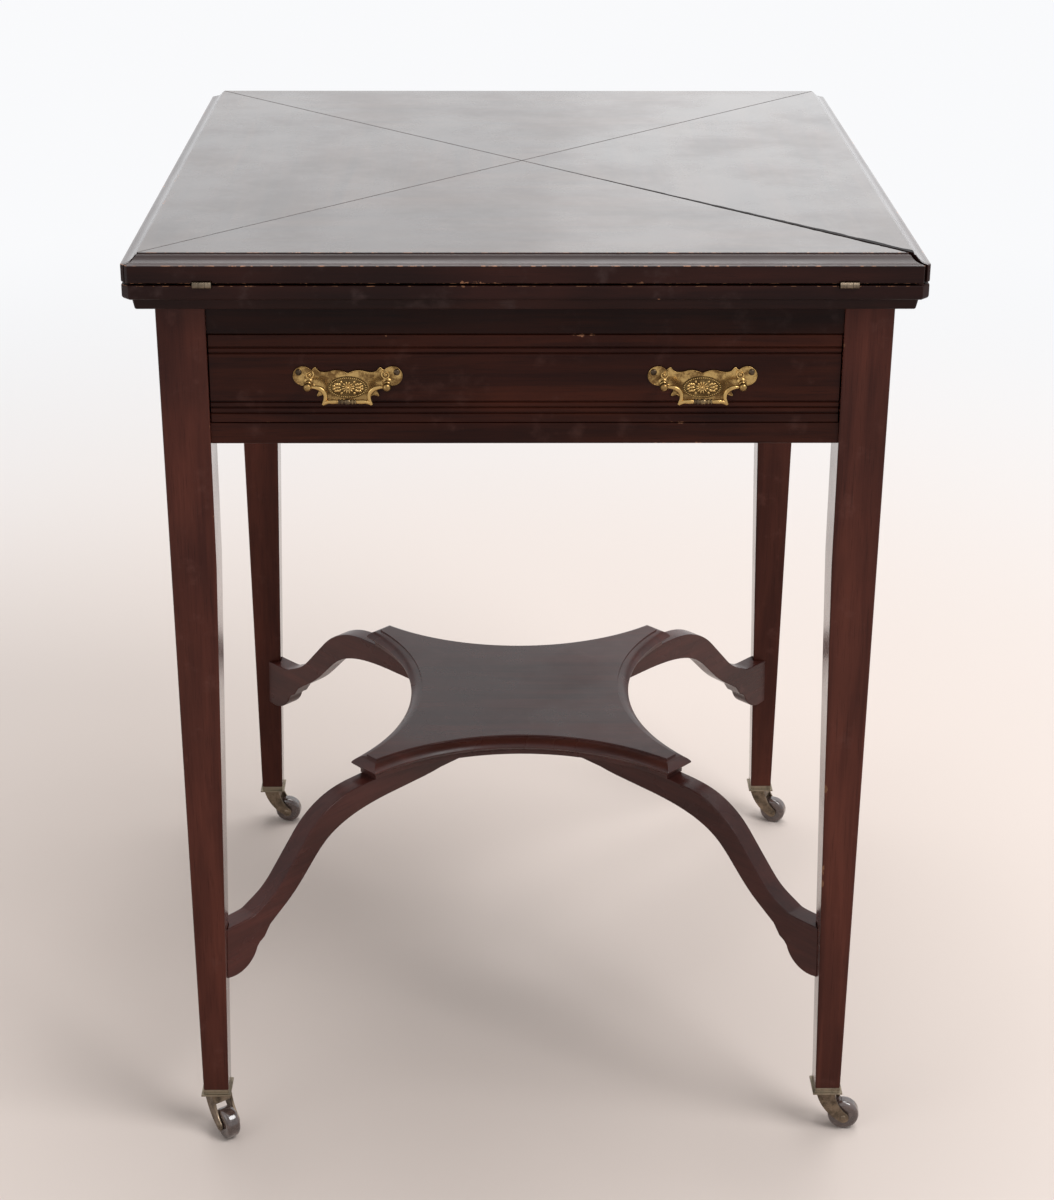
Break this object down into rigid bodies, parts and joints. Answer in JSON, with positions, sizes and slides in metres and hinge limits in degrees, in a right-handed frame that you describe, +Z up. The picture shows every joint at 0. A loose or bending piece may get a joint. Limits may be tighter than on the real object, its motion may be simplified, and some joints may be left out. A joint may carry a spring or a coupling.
{
  "type": "handkerchief games table",
  "caption": "Square dark wood games table with fold-out envelope leaves on a swivel top, a drawer, tapered legs on casters and a shelf on curved stretchers.",
  "frame": {"origin": "on the floor under the middle of the table", "axes": "+Z up, -Y towards the drawer side, +X to the right of a person facing the drawer"},
  "size_m": [0.5662, 0.5662, 0.7414],
  "materials": {
    "top_wood": "semi-gloss polished dark stain",
    "frame_wood": "satin polished dark stain",
    "leg_wood": "satin polished red-brown stain",
    "shelf_wood": "semi-gloss polished red-brown stain",
    "carcase_wood": "unpolished",
    "baize": "matt felted cloth",
    "pull_brass": "polished, slightly dulled",
    "pin_brass": "dark tarnished",
    "hinge_brass": "dull aged",
    "caster_brass": "dull aged",
    "caster_ceramic": "glossy brown glaze",
    "pivot_steel": "plain"
  },
  "bodies": {
    "base": {"leg_front_left": "leg_wood", "leg_front_right": "leg_wood", "leg_back_left": "leg_wood", "leg_back_right": "leg_wood", "rail_left": "frame_wood", "rail_right": "frame_wood", "rail_back": "frame_wood", "rail_front_top": "frame_wood", "rail_front_bottom": "frame_wood", "swivel_bearer": "carcase_wood", "drawer_runners": "carcase_wood", "drawer_guides": "carcase_wood", "drawer_kickers": "carcase_wood", "drawer_stops": "carcase_wood", "shelf": "shelf_wood", "stretcher_front_left": "shelf_wood", "stretcher_front_right": "shelf_wood", "stretcher_back_left": "shelf_wood", "stretcher_back_right": "shelf_wood", "caster_plates": "caster_brass"},
    "top": {"bed_board": "top_wood", "bed_baize": "baize", "bed_hinge_plates": "hinge_brass", "bed_hinge_screws": "hinge_brass", "hinge_pins": "hinge_brass", "pivot_plate": "pivot_steel", "pivot_washer": "pivot_steel", "pivot_nut": "pivot_steel", "stop_peg": "carcase_wood"},
    "drawer": {"drawer_front": "frame_wood", "drawer_side_left": "carcase_wood", "drawer_side_right": "carcase_wood", "drawer_back": "carcase_wood", "drawer_bottom": "carcase_wood", "pull_plates": "pull_brass", "pull_pins": "pin_brass", "pull_posts": "pull_brass"},
    "bail_left": {"bail_left": "pull_brass"},
    "bail_right": {"bail_right": "pull_brass"},
    "leaf_front": {"leaf_front": "top_wood", "leaf_front_baize": "baize", "leaf_front_hinges": "hinge_brass"},
    "leaf_right": {"leaf_right": "top_wood", "leaf_right_baize": "baize", "leaf_right_hinges": "hinge_brass"},
    "leaf_back": {"leaf_back": "top_wood", "leaf_back_baize": "baize", "leaf_back_hinges": "hinge_brass"},
    "leaf_left": {"leaf_left": "top_wood", "leaf_left_baize": "baize", "leaf_left_hinges": "hinge_brass"},
    "caster_front_left": {"caster_horn_front_left": "caster_brass"},
    "wheel_front_left": {"caster_wheel_front_left": "caster_ceramic"},
    "caster_front_right": {"caster_horn_front_right": "caster_brass"},
    "wheel_front_right": {"caster_wheel_front_right": "caster_ceramic"},
    "caster_back_left": {"caster_horn_back_left": "caster_brass"},
    "wheel_back_left": {"caster_wheel_back_left": "caster_ceramic"},
    "caster_back_right": {"caster_horn_back_right": "caster_brass"},
    "wheel_back_right": {"caster_wheel_back_right": "caster_ceramic"}
  },
  "joints": [
    {"name": "top_swivel", "type": "hinge", "parent": "base", "child": "top", "pos_m": [0, 0, 0.7006], "axis": [0, 0, 1], "range_deg": [0, 45]},
    {"name": "leaf_front_hinge", "type": "hinge", "parent": "top", "child": "leaf_front", "pos_m": [0, -0.2808, 0.7212], "axis": [1, 0, 0], "range_deg": [0, 180]},
    {"name": "leaf_right_hinge", "type": "hinge", "parent": "top", "child": "leaf_right", "pos_m": [0.2808, 0, 0.7212], "axis": [0, 1, 0], "range_deg": [0, 180]},
    {"name": "leaf_back_hinge", "type": "hinge", "parent": "top", "child": "leaf_back", "pos_m": [0, 0.2808, 0.7212], "axis": [-1, 0, 0], "range_deg": [0, 180]},
    {"name": "leaf_left_hinge", "type": "hinge", "parent": "top", "child": "leaf_left", "pos_m": [-0.2808, 0, 0.7212], "axis": [0, -1, 0], "range_deg": [0, 180]},
    {"name": "drawer_slide", "type": "slide", "parent": "base", "child": "drawer", "axis": [0, -1, 0], "range_m": [0, 0.3]},
    {"name": "bail_left_swing", "type": "hinge", "parent": "drawer", "child": "bail_left", "pos_m": [-0.126, -0.2679, 0.6423], "axis": [-1, 0, 0], "range_deg": [-25, 90]},
    {"name": "bail_right_swing", "type": "hinge", "parent": "drawer", "child": "bail_right", "pos_m": [0.126, -0.2679, 0.6423], "axis": [-1, 0, 0], "range_deg": [-25, 90]},
    {"name": "caster_front_left_swivel", "type": "hinge", "parent": "base", "child": "caster_front_left", "pos_m": [-0.2455, -0.2455, 0.036], "axis": [0, 0, 1], "continuous": true},
    {"name": "wheel_front_left_roll", "type": "hinge", "parent": "caster_front_left", "child": "wheel_front_left", "pos_m": [-0.2369, -0.25779, 0.0125], "axis": [-0.8192, -0.5736, 0], "continuous": true},
    {"name": "caster_front_right_swivel", "type": "hinge", "parent": "base", "child": "caster_front_right", "pos_m": [0.2455, -0.2455, 0.036], "axis": [0, 0, 1], "continuous": true},
    {"name": "wheel_front_right_roll", "type": "hinge", "parent": "caster_front_right", "child": "wheel_front_right", "pos_m": [0.26035, -0.24759, 0.0125], "axis": [-0.1392, -0.9903, 0], "continuous": true},
    {"name": "caster_back_left_swivel", "type": "hinge", "parent": "base", "child": "caster_back_left", "pos_m": [-0.2455, 0.2455, 0.036], "axis": [0, 0, 1], "continuous": true},
    {"name": "wheel_back_left_roll", "type": "hinge", "parent": "caster_back_left", "child": "wheel_back_left", "pos_m": [-0.23065, 0.24341, 0.0125], "axis": [-0.1392, -0.9903, 0], "continuous": true},
    {"name": "caster_back_right_swivel", "type": "hinge", "parent": "base", "child": "caster_back_right", "pos_m": [0.2455, 0.2455, 0.036], "axis": [0, 0, 1], "continuous": true},
    {"name": "wheel_back_right_roll", "type": "hinge", "parent": "caster_back_right", "child": "wheel_back_right", "pos_m": [0.25941, 0.23988, 0.0125], "axis": [-0.3746, -0.9272, 0], "continuous": true}
  ]
}
